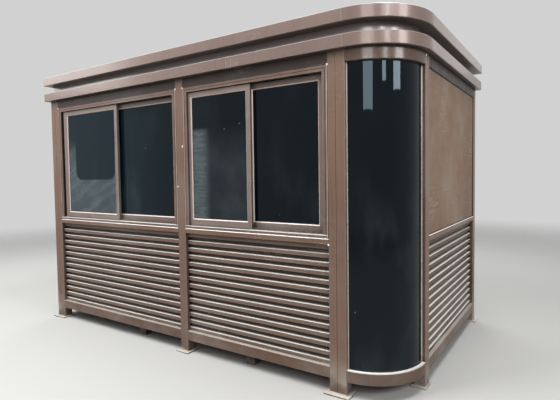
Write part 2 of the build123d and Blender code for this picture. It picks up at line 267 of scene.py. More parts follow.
def use(tree, made_group, **inputs):
    """The outputs of a node group placed in a tree with its own values."""
    node = tree.nodes.new("ShaderNodeGroup")
    node.node_tree = made_group
    for key, value in inputs.items():
        label = key.replace("_", " ")
        if isinstance(value, bpy.types.NodeSocket):
            tree.links.new(value, node.inputs[label])
        else:
            node.inputs[label].default_value = value
    return node.outputs


def object_place(tree):
    """Object coordinates, which are the booth's own frame because every mesh holds its place."""
    return add(tree, "TexCoord").outputs["Object"]


def wall_depth(tree):
    """How far a point lies behind the nearest wall's face, from the booth's half length and width."""
    out = separate(tree, vector_math(tree, "ABSOLUTE", object_place(tree)))
    end_depth = math(tree, "SUBTRACT", HALF_LENGTH, out[0])
    side_depth = math(tree, "SUBTRACT", HALF_WIDTH, out[1])
    return math(tree, "MINIMUM", end_depth, side_depth)


SLANTED_BELOW = 0.85


def slope_mask(tree):
    """One on faces that slant between two axes, such as glazing edges and slat noses, else zero.

    A face slants where the largest of its normal's three parts stays below a limit.
    """
    normal = add(tree, "NewGeometry").outputs["True Normal"]
    parts = separate(tree, vector_math(tree, "ABSOLUTE", normal))
    largest = math(tree, "MAXIMUM", math(tree, "MAXIMUM", parts[0], parts[1]), parts[2])
    return math(tree, "LESS_THAN", largest, SLANTED_BELOW)


def stretched_noise_group():
    """Noise stretched along an axis, cut to a soft mask: grain, streaks, runs and mottling."""
    inputs = {
        "Scale": (1.0, 1.0, 1.0), "Turn": (0.0, 0.0, 0.0), "Detail": 3.0, "Low": 0.4, "High": 0.6
    }
    tree, given, result = group("stretched_noise", inputs)
    turned_place = add(
        tree, "VectorRotate", {"Vector": object_place(tree), "Rotation": given["Turn"]},
        rotation_type="EULER_XYZ",
    ).outputs[0]
    place = vector_math(tree, "MULTIPLY", turned_place, given["Scale"])
    noise = add(tree, "TexNoise", {"Vector": place, "Scale": 1.0, "Detail": given["Detail"]})
    mask = ramp(tree, noise.outputs[0], given["Low"], given["High"])
    tree.links.new(mask, result.inputs["Mask"])
    return tree


STRETCHED_NOISE = stretched_noise_group()


def noise_mask(tree, scale, detail, low, high, turn=(0.0, 0.0, 0.0)):
    """The mask of stretched noise, which goes from zero to one between two levels of the noise."""
    return use(tree, STRETCHED_NOISE, Scale=scale, Turn=turn, Detail=detail, Low=low, High=high)[0]


def dust_and_top_highlight_group():
    """Dust on faces that look up, which also paints their highlight from the light above, and a
    splashed zone that fades with height above the ground.
    """
    inputs = {"Ledges": 0.7, "Ground": 0.5, "Ground Height": 0.35, "Patches": 0.3}
    tree, given, result = group("dust_and_top_highlight", inputs, ("Mask", "Ledge"))
    upward = separate(tree, add(tree, "NewGeometry").outputs["Normal"])[2]
    height = separate(tree, object_place(tree))[2]
    ledge = product(tree, ramp(tree, upward, 0.50, 0.90), given["Ledges"])
    low_down = ramp(tree, height, given["Ground Height"], 0.0)
    broken = noise_mask(tree, (5.0, 5.0, 7.0), 6.0, 0.35, 0.7)
    ground = product(tree, low_down, given["Ground"], broken)
    patch = product(tree, noise_mask(tree, (1.7, 1.7, 1.2), 7.0, 0.45, 0.8), given["Patches"])
    mask = math(tree, "ADD", math(tree, "MAXIMUM", ledge, ground), patch, clamp=True)
    tree.links.new(mask, result.inputs["Mask"])
    tree.links.new(ledge, result.inputs["Ledge"])
    return tree


def edge_wear_and_highlight_group():
    """Edges where the rounded normal leaves the true one, painted pale as worn edges and as a
    highlight, broken up so that the marks come and go.
    """
    tree, given, result = group("edge_wear_and_highlight", {"Width": 0.004, "Amount": 0.6})
    rounded = add(tree, "Bevel", {"Radius": given["Width"]}, samples=6).outputs[0]
    true_normal = add(tree, "NewGeometry").outputs["Normal"]
    dot = add(tree, "VectorMath", {0: rounded, 1: true_normal}, operation="DOT_PRODUCT").outputs[1]
    edge = ramp(tree, dot, 0.995, 0.90)
    share = ramp(tree, noise_mask(tree, (9.0, 9.0, 9.0), 1.0, 0.30, 0.70), 0.0, 1.0, 0.65, 1.0)
    tree.links.new(product(tree, edge, given["Amount"], share), result.inputs["Mask"])
    return tree


def recess_shade_group():
    """Painted shade where other faces stand close by: one minus the open share of the space in front.
    """
    tree, given, result = group("recess_shade", {"Reach": 0.12, "Amount": 0.7})
    openness = add(tree, "AmbientOcclusion", {"Distance": given["Reach"]}, samples=6).outputs["AO"]
    mask = product(tree, ramp(tree, openness, 0.95, 0.42), given["Amount"])
    tree.links.new(mask, result.inputs["Mask"])
    return tree


def fine_scratches_group():
    """Hairline scratches: narrow bands of stretched noise near its middle value, in few places."""
    tree, given, result = group("fine_scratches", {"Scale": (3.0, 3.0, 40.0), "Amount": 0.5})
    place = vector_math(tree, "MULTIPLY", object_place(tree), given["Scale"])
    noise = add(tree, "TexNoise", {"Vector": place, "Scale": 1.0, "Detail": 2.0}).outputs[0]
    off_middle = math(tree, "ABSOLUTE", math(tree, "SUBTRACT", noise, 0.5))
    line = ramp(tree, off_middle, 0.012, 0.0)
    here = noise_mask(tree, (2.6, 2.6, 2.6), 3.0, 0.52, 0.68)
    tree.links.new(product(tree, line, here, given["Amount"]), result.inputs["Mask"])
    return tree


def specks_group():
    """Round specks about the centres of a Voronoi pattern's cells.

    A cell keeps its speck where its own random number is above a share.
    """
    tree, given, result = group("specks", {"Scale": 30.0, "Size": 0.12, "Share": 0.6})
    inputs = {"Vector": object_place(tree), "Scale": given["Scale"], "Randomness": 1.0}
    cells = add(tree, "TexVoronoi", inputs)
    spot = ramp(tree, cells.outputs["Distance"], given["Size"], 0.0)
    chance = add(tree, "SeparateColor", {0: cells.outputs["Color"]}).outputs[0]
    kept = math(tree, "GREATER_THAN", chance, given["Share"])
    tree.links.new(product(tree, spot, kept), result.inputs["Mask"])
    return tree


def rounded_field_group():
    """Zero inside an upright rounded rectangle on a front pane and one outside it.

    The distance is the length of max(|p - centre| - half size + radius, 0), less the radius.
    """
    inputs = {"Centre": (0.0, 0.0, 0.0), "Half Size": (1.0, 9.0, 1.0), "Radius": 0.1, "Soft": 0.02}
    tree, given, result = group("rounded_field", inputs)
    offset = vector_math(tree, "SUBTRACT", object_place(tree), given["Centre"])
    inset = vector_math(tree, "SUBTRACT", vector_math(tree, "ABSOLUTE", offset), given["Half Size"])
    radius = add(tree, "CombineXYZ", {i: given["Radius"] for i in range(3)}).outputs[0]
    outside = vector_math(tree, "MAXIMUM", vector_math(tree, "ADD", inset, radius), (0.0, 0.0, 0.0))
    distance = math(tree, "SUBTRACT", vector_length(tree, outside), given["Radius"])
    tree.links.new(ramp(tree, distance, 0.0, given["Soft"]), result.inputs["Mask"])
    return tree


DUST_AND_TOP_HIGHLIGHT = dust_and_top_highlight_group()
EDGE_WEAR_AND_HIGHLIGHT = edge_wear_and_highlight_group()
RECESS_SHADE = recess_shade_group()
FINE_SCRATCHES = fine_scratches_group()
SPECKS = specks_group()
ROUNDED_FIELD = rounded_field_group()


# Materials

def new_material(name, **shader_values):
    """A material with one Principled shader: the material, its tree and the shader's inputs."""
    material = bpy.data.materials.new(name)
    material.use_nodes = True
    tree = material.node_tree
    shader = tree.nodes["Principled BSDF"]
    for key, value in shader_values.items():
        shader.inputs[key.replace("_", " ")].default_value = value
    return material, tree, shader.inputs


def bump(tree, height, strength, distance):
    """A normal bent by a height."""
    inputs = {"Height": height, "Strength": strength, "Distance": distance}
    return add(tree, "Bump", inputs).outputs[0]


# How strongly each mark shows in a coat, painted shade and painted highlights included
COAT_ROUGHNESS = 0.16
MOTTLE_LEVEL = 1.12
DEEP_SHADE_SHARE = 0.70
DEEP_SHADE_FADE = 0.005
SLOPE_HIGHLIGHT_SHARE = 0.85
HIGHLIGHT_LINE_SHARE = 0.90
DUST_ROUGHNESS = 0.30
GRAIN_ROUGHNESS = (-0.06, 0.08)
GRAIN_BUMP = (0.12, 0.0008)


def coated_metal(
    name, colour, metallic=0.15, roughness=0.40, gloss=0.15, streaks=(75.0, 75.0, 1.6),
    streak_depth=0.08, ledges=0.75, ground=0.45, patches=0.12, wear_and_highlight=0.6, scratches=0.3, clear=0.12,
    ledge_dust_and_highlight=DUST, recess=0.8, shaded_depth=None, slope_highlight_colour=None, highlight_levels=None,
):
    """Brushed metal under a clear satin coat, with streaks, dust, worn edges and scratches.

    Recesses get painted shade, and the dust on ledges and the worn edges are also painted
    highlights. Where a shaded depth is given, what lies deeper behind the walls' faces is
    painted darker as shade. Slanted faces take the slope highlight colour, a painted highlight,
    where one is given, and between the highlight levels, a pair of heights, a pale line is
    painted as a highlight.
    """
    material, tree, shader = new_material(
        name, Metallic=metallic, Specular_IOR_Level=gloss, Coat_Weight=clear,
        Coat_Roughness=COAT_ROUGHNESS,
    )
    grain = noise_mask(tree, streaks, 4.0, 0.30, 0.70)
    cloud = noise_mask(tree, (2.3, 2.3, 1.1), 5.0, 0.25, 0.75)
    dust, ledge = use(tree, DUST_AND_TOP_HIGHLIGHT, Ledges=ledges, Ground=ground, Patches=patches)
    worn = use(tree, EDGE_WEAR_AND_HIGHLIGHT, Amount=wear_and_highlight)[0]
    scratch = use(tree, FINE_SCRATCHES, Amount=scratches)[0]
    coat = colour_mix(tree, grain, shade(colour, 1 - streak_depth), shade(colour, 1 + streak_depth))
    coat = colour_mix(tree, cloud, coat, shade(colour, MOTTLE_LEVEL))
    # Painted shade in recesses: the colour goes towards near black and the clear coat fades there
    if recess:
        recess_shade_mask = use(tree, RECESS_SHADE, Amount=recess)[0]
        coat = colour_mix(tree, recess_shade_mask, coat, PAINTED_SHADE)
        tree.links.new(ramp(tree, recess_shade_mask, 0.0, 1.0, clear, 0.0), shader["Coat Weight"])
    # Dust; on faces that look up its pale colour is also a painted highlight of the light from above
    coat = colour_mix(tree, dust, coat, colour_mix(tree, ledge, DUST, ledge_dust_and_highlight))
    # Painted shade deeper behind the walls' faces, as in the louvres' recesses
    if shaded_depth:
        deep = ramp(tree, wall_depth(tree), shaded_depth, shaded_depth + DEEP_SHADE_FADE)
        coat = colour_mix(tree, product(tree, deep, DEEP_SHADE_SHARE), coat, PAINTED_SHADE)
    # Slanted faces, such as glazing edges and slat noses, painted pale as a highlight
    if slope_highlight_colour:
        coat = colour_mix(tree, product(tree, slope_mask(tree), SLOPE_HIGHLIGHT_SHARE), coat, slope_highlight_colour)
    # A pale line painted as the highlight along a ledge's front edge
    if highlight_levels:
        line = between(tree, separate(tree, object_place(tree))[2], *highlight_levels)
        coat = colour_mix(tree, product(tree, line, HIGHLIGHT_LINE_SHARE), coat, PALE_DUST_AND_HIGHLIGHT)
    # Worn edges and scratches in a pale colour; along the edges it is also a painted highlight
    coat = colour_mix(tree, math(tree, "MAXIMUM", worn, scratch), coat, BARE_EDGE_AND_HIGHLIGHT)
    tree.links.new(coat, shader["Base Color"])
    rough = ramp(tree, grain, 0.0, 1.0, *(roughness + change for change in GRAIN_ROUGHNESS))
    rough = math(tree, "ADD", rough, product(tree, dust, DUST_ROUGHNESS))
    tree.links.new(rough, shader["Roughness"])
    tree.links.new(bump(tree, grain, *GRAIN_BUMP), shader["Normal"])
    return material


# Limits of the marked panes along the booth, and places and heights between which marks fade in
MILKY_PANE = (-1.80, -0.90)
HAZY_PANE = (0.05, 0.72)
FILM_AND_REFLECTION_FADE = (1.75, 1.15)
MILK_FADE = (1.95, 1.70)
HAZE_FADE = (1.97, 1.62)
HAZY_STRIP_EDGE = (0.33, 0.22)
HAZY_STRIP_TOP = (1.93, 1.88)
REFLECTION_TINT_CHANGE = (0.1, -0.95)

# The field without film on the milky pane, and how the smears on it slant
PEELED_CENTRE = (-1.24, -1.07, 1.96)
PEELED_HALF_SIZE = (0.31, 9.0, 0.45)
PEELED_RADIUS = 0.08
SMEAR_TURN = (0.0, 0.454, 0.0)

# How strongly the marks show; a pair is (even part, part that follows the noise)
FILM_AND_REFLECTION_SHARE = 0.10
SPECK_SHARE = 0.90
SMEAR_SHARE = 0.20
MILK = (0.16, 0.14)
EVEN_HAZE = (0.05, 0.06)
STRIP_HAZE = (0.20, 0.14)


def uneven(tree, mask, even, varied):
    """A strength with an even part and a part that follows a mask."""
    return math(tree, "MULTIPLY_ADD", mask, varied, even)


def tinted_glass():
    """Near-black glass with a thin film that is also a painted pale reflection, stronger towards the
    bottom, a tint painted lighter and bluer towards the left as a reflection, specks, a milky left pane
    and a hazy third one.

    On the left pane the film is missing inside a rounded field, as where a sheet was peeled off.
    """
    material, tree, shader = new_material(
        "tinted_glass", Metallic=0.0, IOR=1.5, Transmission_Weight=0.15, Specular_IOR_Level=0.22,
        Specular_Tint=GLASS_REFLECTION,
    )
    across, depth, height = separate(tree, object_place(tree))
    on_front = math(tree, "LESS_THAN", depth, GLASS_RADIUS - HALF_WIDTH)
    cloud = noise_mask(tree, (3.4, 3.4, 1.6), 7.0, 0.46, 0.85)
    # A thin film that is also a painted reflection of the floor, stronger towards the bottom
    film = product(tree, cloud, ramp(tree, height, *FILM_AND_REFLECTION_FADE, 0.3, 1.0), FILM_AND_REFLECTION_SHARE)

    peeled = use(
        tree, ROUNDED_FIELD, Centre=PEELED_CENTRE, Half_Size=PEELED_HALF_SIZE, Radius=PEELED_RADIUS
    )[0]
    smears = noise_mask(tree, (1.6, 1.6, 13.0), 2.0, 0.35, 0.90, SMEAR_TURN)
    mottle = noise_mask(tree, (6.0, 6.0, 7.0), 4.0, 0.25, 0.85)
    milk = math(tree, "MULTIPLY_ADD", smears, SMEAR_SHARE, uneven(tree, mottle, *MILK))
    milk = product(tree, milk, peeled, ramp(tree, height, *MILK_FADE))
    milk = product(tree, milk, between(tree, across, *MILKY_PANE))

    ripples = noise_mask(tree, (9.0, 9.0, 45.0), 4.0, 0.25, 0.80)
    strip = product(tree, uneven(tree, ripples, *STRIP_HAZE), ramp(tree, across, *HAZY_STRIP_EDGE))
    strip = product(tree, strip, ramp(tree, height, *HAZY_STRIP_TOP))
    even = product(tree, uneven(tree, mottle, *EVEN_HAZE), ramp(tree, height, *HAZE_FADE))
    haze = product(tree, math(tree, "ADD", even, strip), between(tree, across, *HAZY_PANE))

    marks = product(tree, math(tree, "ADD", milk, haze), on_front)
    specks = product(tree, use(tree, SPECKS, Scale=8.0, Size=0.055, Share=0.62)[0], SPECK_SHARE)
    dirt = math(tree, "MAXIMUM", math(tree, "ADD", film, marks, clamp=True), specks)
    # The tint turns lighter and bluer towards the left, a painted reflection
    tint = colour_mix(tree, ramp(tree, across, *REFLECTION_TINT_CHANGE), GLASS_TINT, LEFT_GLASS_REFLECTION_TINT)
    tree.links.new(colour_mix(tree, dirt, tint, GLASS_FILM_AND_REFLECTION), shader["Base Color"])
    tree.links.new(ramp(tree, dirt, 0.0, 0.6, 0.03, 0.55), shader["Roughness"])
    return material


def plain_finish(name, colour, roughness, metallic=0.0, gloss=0.5, variation=0.15, dust=0.2):
    """A plain finish with soft mottling, fine tooth and some dust."""
    material, tree, shader = new_material(name, Metallic=metallic, Specular_IOR_Level=gloss)
    cloud = noise_mask(tree, (6.0, 6.0, 6.0), 6.0, 0.3, 0.7)
    tooth = noise_mask(tree, (300.0, 300.0, 300.0), 2.0, 0.3, 0.7)
    settled = use(tree, DUST_AND_TOP_HIGHLIGHT, Ledges=dust, Ground=dust, Patches=dust * 0.4)[0]
    mottled = colour_mix(tree, cloud, shade(colour, 1 - variation), shade(colour, 1 + variation))
    tree.links.new(colour_mix(tree, settled, mottled, DUST), shader["Base Color"])
    tree.links.new(ramp(tree, cloud, 0.0, 1.0, roughness - 0.05, roughness + 0.07), shader["Roughness"])
    tree.links.new(bump(tree, tooth, 0.08, 0.0005), shader["Normal"])
    return material


def floor_board():
    """A laid floor sheet with long grain."""
    material, tree, shader = new_material("floor_board", Specular_IOR_Level=0.4)
    grain = noise_mask(tree, (3.0, 60.0, 60.0), 5.0, 0.3, 0.7)
    tree.links.new(colour_mix(tree, grain, BOARD_DARK, BOARD_LIGHT), shader["Base Color"])
    tree.links.new(ramp(tree, grain, 0.0, 1.0, 0.5, 0.65), shader["Roughness"])
    tree.links.new(bump(tree, grain, 0.1, 0.0006), shader["Normal"])
    return material


def ledge_highlight_levels(top):
    """The levels of a pale line painted as a highlight along a ledge's front edge."""
    return top - 0.006, top + 0.001


WINDOW_COAT = dict(roughness=0.34, streaks=(9.0, 9.0, 9.0))
LOUVRE_COAT = dict(
    clear=0.0, streaks=(7.0, 7.0, 60.0), ledges=1.0, wear_and_highlight=0.3, shaded_depth=SLAT_FACE + 0.010
)

COATED_METALS = {
    "booth_coat": dict(
        colour=BOOTH_BROWN, ledge_dust_and_highlight=PALE_DUST_AND_HIGHLIGHT, ledges=0.9, wear_and_highlight=0.4, scratches=0.12
    ),
    "cornice_coat": dict(
        colour=CORNICE_BROWN, metallic=0.2, roughness=0.34, streaks=(190.0, 190.0, 1.2),
        streak_depth=0.09, patches=0.06, wear_and_highlight=0.7, clear=0.45,
    ),
    # Curved header: booth brown darkened as painted shade under the cornice
    "corner_header_shaded_coat": dict(
        colour=shade(BOOTH_BROWN, 0.55), metallic=0.1, roughness=0.34, gloss=0.1, clear=0.6,
        patches=0.03, wear_and_highlight=0.1,
    ),
    # Headers: painted shade under the cornice's overhang
    "header_shaded_coat": dict(
        colour=SHADED_HEADER_BROWN, metallic=0.1, gloss=0.1, clear=0.0, patches=0.06, wear_and_highlight=0.3, recess=0.95
    ),
    "groove_coat": dict(colour=GROOVE_BROWN, roughness=0.34, patches=0.0, clear=1.0, recess=0.0),
    # Rails: booth brown darkened as painted shade
    "rail_shaded_coat": dict(colour=shade(BOOTH_BROWN, 0.78), ledges=0.55, ground=0.15, wear_and_highlight=0.4),
    "corner_rail_shaded_coat": dict(
        colour=shade(BOOTH_BROWN, 0.70), ledge_dust_and_highlight=PALE_DUST_AND_HIGHLIGHT, ledges=0.9, ground=0.10, wear_and_highlight=0.4
    ),
    "sill_coat": dict(
        colour=BOOTH_BROWN, ledges=0.55, wear_and_highlight=0.3, highlight_levels=ledge_highlight_levels(SILL_TOP)
    ),
    "window_coat": dict(
        colour=WINDOW_BROWN, ledges=0.35, wear_and_highlight=0.3, highlight_levels=ledge_highlight_levels(FRAME_LIP_TOP),
        **WINDOW_COAT,
    ),
    "sash_coat": dict(
        colour=SASH_BROWN, ledges=1.0, wear_and_highlight=0.5, ledge_dust_and_highlight=PALE_DUST_AND_HIGHLIGHT, slope_highlight_colour=BARE_EDGE_AND_HIGHLIGHT,
        **WINDOW_COAT,
    ),
    "louvre_coat": dict(
        colour=LOUVRE_BROWN, gloss=0.2, ledge_dust_and_highlight=FRONT_DUST_AND_HIGHLIGHT, slope_highlight_colour=FRONT_DUST_AND_HIGHLIGHT, **LOUVRE_COAT
    ),
    # Side louvres: darker faces as painted shade, with paler ledges and noses as painted highlights
    "side_louvre_shade_and_highlight_coat": dict(
        colour=shade(LOUVRE_BROWN, 0.75), metallic=0.10, roughness=0.46, gloss=0.1,
        ledge_dust_and_highlight=PALE_DUST_AND_HIGHLIGHT, slope_highlight_colour=PALE_DUST_AND_HIGHLIGHT, **LOUVRE_COAT,
    ),
    "panel_coat": dict(
        colour=PANEL_BROWN, metallic=0.05, roughness=0.50, gloss=0.12, patches=0.22,
        streaks=(5.0, 5.0, 9.0), streak_depth=0.06, scratches=0.6, clear=0.0,
    ),
    "base_steel": dict(
        colour=STEEL_BROWN, metallic=0.25, roughness=0.45, ledges=0.9, ground=0.8, patches=0.3
    ),
    # Steel under the booth, darkened as painted shade
    "under_steel_shaded": dict(
        colour=shade(STEEL_BROWN, 0.45), metallic=0.2, roughness=0.5, ledges=0.6, ground=0.2
    ),
    "roof_sheet": dict(
        colour=ROOF_BROWN, metallic=0.2, roughness=0.5, streaks=(3.0, 18.0, 3.0), ledges=0.30,
        patches=0.4,
    ),
    "door_steel": dict(
        colour=BOOTH_BROWN, metallic=0.4, roughness=0.33, streaks=(120.0, 120.0, 2.0), wear_and_highlight=0.5
    ),
}

PLAIN_FINISHES = {
    "bead_aluminium": dict(
        colour=BEAD_SILVER, roughness=0.30, metallic=0.35, variation=0.03, dust=0.0
    ),
    "lining_white": dict(colour=LINING_WHITE, roughness=0.6, variation=0.04),
    "ceiling_white": dict(colour=CEILING_WHITE, roughness=0.6, variation=0.03),
    "handle_steel": dict(colour=HANDLE_GREY, roughness=0.24, metallic=0.95, dust=0.05),
    "seal_rubber": dict(colour=SEAL_BLACK, roughness=0.55, gloss=0.2, dust=0.03),
    "pale_filler": dict(colour=FILLER_PALE, roughness=0.5),
    "joint_filler": dict(colour=FILLER_BROWN, roughness=0.4, metallic=0.2),
    "weld_metal": dict(colour=WELD_BROWN, roughness=0.42, metallic=0.5, variation=0.3),
}

FINISHES = {"tinted_glass": tinted_glass(), "floor_board": floor_board()}
FINISHES.update({name: coated_metal(name, **values) for name, values in COATED_METALS.items()})
FINISHES.update({name: plain_finish(name, **values) for name, values in PLAIN_FINISHES.items()})

CAD_FINISHES = {
    "booth_coat": [
        "back_posts", "front_left_inner_post", "front_left_post", "front_middle_post",
        "front_right_inner_post", "front_right_post", "right_front_post", "door_frame",
    ],
    "corner_rail_shaded_coat": ["corner_rail"],
    "header_shaded_coat": ["back_headers", "front_headers", "side_headers"],
    "corner_header_shaded_coat": ["corner_header"],
    "rail_shaded_coat": ["back_rails", "front_rails", "side_rails"],
    "sill_coat": ["back_sills", "front_sills", "side_sills"],
    "cornice_coat": ["lower_cornice", "upper_cornice"],
    "groove_coat": ["cornice_groove"],
    "window_coat": ["back_window_frame", "left_window_frame", "right_window_frame"],
    "sash_coat": ["back_window_sashes", "left_window_sashes", "right_window_sashes"],
    "louvre_coat": ["back_louvres", "front_left_louvre", "front_right_louvre"],
    "side_louvre_shade_and_highlight_coat": ["side_louvres"],
    "panel_coat": ["wall_panels"],
    "base_steel": ["base_plates"],
    "under_steel_shaded": ["floor_joists", "joist_feet"],
    "roof_sheet": ["roof"],
    "tinted_glass": ["corner_glass", "window_glass"],
    "bead_aluminium": ["corner_glass_beads"],
    "lining_white": ["inner_linings"],
    "ceiling_white": ["ceiling"],
    "floor_board": ["floor_deck"],
    "door_steel": ["door_leaf"],
    "handle_steel": ["door_handles", "door_hinges"],
}
for finish, names in CAD_FINISHES.items():
    for name in names:
        for slot in nodes[name].material_slots:
            slot.material = FINISHES[finish]


# Mesh building

QUADRANTS = np.array([(1, 1), (-1, 1), (-1, -1), (1, -1)])
ALONG, INWARDS, UP = 0, 1, 2


def grid_faces(rows, columns, wrap_rows):
    """The quads between neighbouring points of a grid whose columns close on themselves."""
    row = np.arange(rows if wrap_rows else rows - 1)
    row, column = np.meshgrid(row, np.arange(columns), indexing="ij")
    next_row, next_column = (row + 1) % rows, (column + 1) % columns
    corners = [(row, column), (row, next_column), (next_row, next_column), (next_row, column)]
    return np.stack([r * columns + c for r, c in corners], axis=-1).reshape(-1, 4)


def piece(name, grids, finish, wrap_rows=False, smooth_angle=35.0):
    """One piece from grids of points, each given as copies x rows x columns x 3.

    The columns are a closed profile. Rows either close on themselves or end in flat caps.
    """
    points, faces, start = [], [], 0
    for grid in grids:
        grid = np.asarray(grid, float)
        grid = grid[None] if grid.ndim == 3 else grid
        copies, rows, columns = grid.shape[:3]
        first = start + np.arange(copies)[:, None, None] * rows * columns
        faces += (first + grid_faces(rows, columns, wrap_rows)[None]).reshape(-1, 4).tolist()
        if not wrap_rows:
            ends = np.stack([np.arange(columns), (rows - 1) * columns + np.arange(columns)])
            faces += (first + ends[None]).reshape(-1, columns).tolist()
        points.append(grid.reshape(-1, 3))
        start += copies * rows * columns
    mesh = bpy.data.meshes.new(name)
    mesh.from_pydata(np.concatenate(points).tolist(), [], faces)
    shell = bmesh.new()
    shell.from_mesh(mesh)
    bmesh.ops.remove_doubles(shell, verts=shell.verts, dist=1e-6)
    bmesh.ops.recalc_face_normals(shell, faces=shell.faces)
    shell.to_mesh(mesh)
    shell.free()
    mesh.shade_smooth()
    mesh.set_sharp_from_angle(angle=radians(smooth_angle))
    mesh.materials.append(FINISHES[finish])
    made = bpy.data.objects.new(name, mesh)
    scene.collection.objects.link(made)
    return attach(made, "root")


def rectangle(x, z):
    """The corners of a rectangle; QUADRANTS has the way inwards from each, in the same order."""
    return np.array([(x[0], z[0]), (x[1], z[0]), (x[1], z[1]), (x[0], z[1])])


def rounded_profile(width, depth, radius, steps=3):
    """A closed rectangle with rounded corners: quarter circles of a radius about inset corners."""
    half = np.array([width, depth]) / 2 - radius
    turn = np.linspace(0, pi / 2, steps)
    quarter = np.stack([np.cos(turn), np.sin(turn)], axis=-1) * radius
    arcs = [quarter * signs + half * signs for signs in QUADRANTS]
    arcs = [arc if signs.prod() > 0 else arc[::-1] for arc, signs in zip(arcs, QUADRANTS)]
    return np.concatenate(arcs)


def shifted(profile, first, second):
    """A profile moved in its own plane."""
    return profile + np.array([first, second])


def wall_ring(wall, x, z, profile):
    """A profile carried round an upright rectangle on a wall, mitred at its four corners.

    Each profile point is (distance into the opening, depth behind the wall face), so a corner's
    point is the corner moved by that distance along both edges.
    """
    flat = rectangle(x, z)[:, None, :] + QUADRANTS[:, None, :] * profile[None, :, :1]
    depth = np.broadcast_to(profile[None, :, 1], flat.shape[:2])
    return on_wall(wall, np.stack([flat[..., 0], depth, flat[..., 1]], axis=-1))


def straight_bar(wall, profile, run, limits):
    """A profile carried straight between two limits along a wall, inwards or up.

    Each profile point gives the other two coordinates, in the order along, inwards, up.
    """
    ends = np.empty((2, len(profile), 3))
    ends[..., run] = np.array(limits)[:, None]
    ends[..., [axis for axis in (ALONG, INWARDS, UP) if axis != run]] = profile
    return on_wall(wall, ends)


def corner_bar(profile, steps=48):
    """A profile given as (radius, height) turned through the rounded corner's quarter circle."""
    turn = np.linspace(-pi / 2, 0, steps)[:, None]
    radius, height = profile[None, :, 0], np.broadcast_to(profile[None, :, 1], (steps, len(profile)))
    return np.stack([CORNER_X + radius * np.cos(turn), CORNER_Y + radius * np.sin(turn), height], -1)


def turned(profile, centre, axis, steps=20):
    """A profile given as (radius, distance) turned about a level axis through a centre."""
    side = np.cross(axis, (0, 0, 1))
    other = np.cross(axis, side)
    turn = np.linspace(0, 2 * pi, steps, endpoint=False)
    spoke = np.cos(turn)[None, :, None] * side + np.sin(turn)[None, :, None] * other
    return centre + profile[:, 0, None, None] * spoke + profile[:, 1, None, None] * axis


# Windows: gaskets, lines beside the frames, pile strips and corner filler

GASKET_WIDTH = 0.005
GASKET_DEPTH = 0.0025


def sash_openings():
    """Every pane's opening as (wall, x limits, z limits, depth of the sash's front)."""
    openings = []
    z = (SASH_BOTTOM + SASH_BOTTOM_RAIL, SASH_TOP - SASH_TOP_RAIL)
    for wall, bay, ajar in WINDOWS:
        low = bay[0] + JAMB_BODY + SASH_CLEARANCE
        high = bay[1] - JAMB_BODY - SASH_CLEARANCE - SASH_STOP
        meeting = ((low + high - SASH_MEETING_STILE) / 2, (low + high + SASH_MEETING_STILE) / 2)
        outer = (low + ajar + SASH_JAMB_STILE, meeting[0] + ajar)
        inner = (meeting[1], high - SASH_JAMB_STILE)
        openings += [(wall, x, z, depth) for x, depth in zip((outer, inner), TRACK_FRONTS)]
    return openings


def pane_gaskets():
    """A black bead in the corner between each pane and its sash, on both faces.

    It is a four-sided profile carried round the opening, mirrored for the inner face.
    """
    glass_front = (SASH_THICKNESS - PANE_THICKNESS) / 2
    bead = np.array([
        (0.0, 0.0), (GASKET_WIDTH, 0.0), (GASKET_WIDTH * 0.7, -GASKET_DEPTH * 0.8),
        (0.0, -GASKET_DEPTH),
    ])
    grids = []
    for wall, x, z, depth in sash_openings():
        front, back = depth + glass_front, depth + glass_front + PANE_THICKNESS
        grids.append(wall_ring(wall, x, z, shifted(bead, 0, front)))
        grids.append(wall_ring(wall, x, z, shifted(bead * (1, -1), 0, back)))
    return piece("pane_gaskets", grids, "seal_rubber", wrap_rows=True)


def jamb_lines(name, limits, thickness, finish):
    """Thin strips carried straight up the frame's face, between two distances from each post."""
    middle, width = (limits[0] + limits[1]) / 2, limits[1] - limits[0]
    profile = rounded_profile(width, thickness, thickness * 0.2)
    grids = []
    for wall, bay, _ in WINDOWS:
        for x in (bay[0] + middle, bay[1] - middle):
            strip = shifted(profile, x, FRAME_FACE - thickness / 2)
            grids.append(straight_bar(wall, strip, UP, (SILL_TOP, HEADER_BOTTOM)))
    return piece(name, grids, finish)


PILE_WIDTH = 0.007
PILE_ROUNDING = 0.0008


def jamb_piles():
    """Pile strips, carried straight up, that close the slit between each jamb's lip and the sash."""
    profile = rounded_profile(PILE_WIDTH, TRACK_FRONTS[0] - LIP_BACK, PILE_ROUNDING)
    middle = (TRACK_FRONTS[0] + LIP_BACK) / 2
    levels = (SILL_TOP + TRACK_LIP, HEADER_BOTTOM - HEAD_LIP)
    grids = []
    for wall, bay, _ in WINDOWS:
        for x in (bay[0] + JAMB_LIP, bay[1] - JAMB_LIP):
            grids.append(straight_bar(wall, shifted(profile, x, middle), UP, levels))
    return piece("jamb_piles", grids, "seal_rubber")


# Dabs of filler as (wall, place along it, height)
FILLER_RADIUS = 0.008
FILLER_HEIGHT = 0.0025
FILLER_SINK = 0.0005
FILLER_DABS = [
    ("front", LEFT_BAY[0], HEADER_BOTTOM),
    ("front", LEFT_BAY[1], HEADER_BOTTOM),
    ("front", RIGHT_BAY[0], HEADER_BOTTOM),
    ("front", RIGHT_BAY[1], HEADER_BOTTOM),
    ("front", RIGHT_BAY[1], SILL_BOTTOM),
    ("right", CORNER_RADIUS + FILLER_RADIUS, HEADER_TOP - 0.02),
    ("front", RIGHT_BAY[0] - 0.012, 1.776),
    ("front", LEFT_BAY[1] + 0.010, 1.435),
    ("back", BACK_WINDOW_BAY[0], HEADER_BOTTOM),
    ("back", BACK_WINDOW_BAY[1], HEADER_BOTTOM),
]


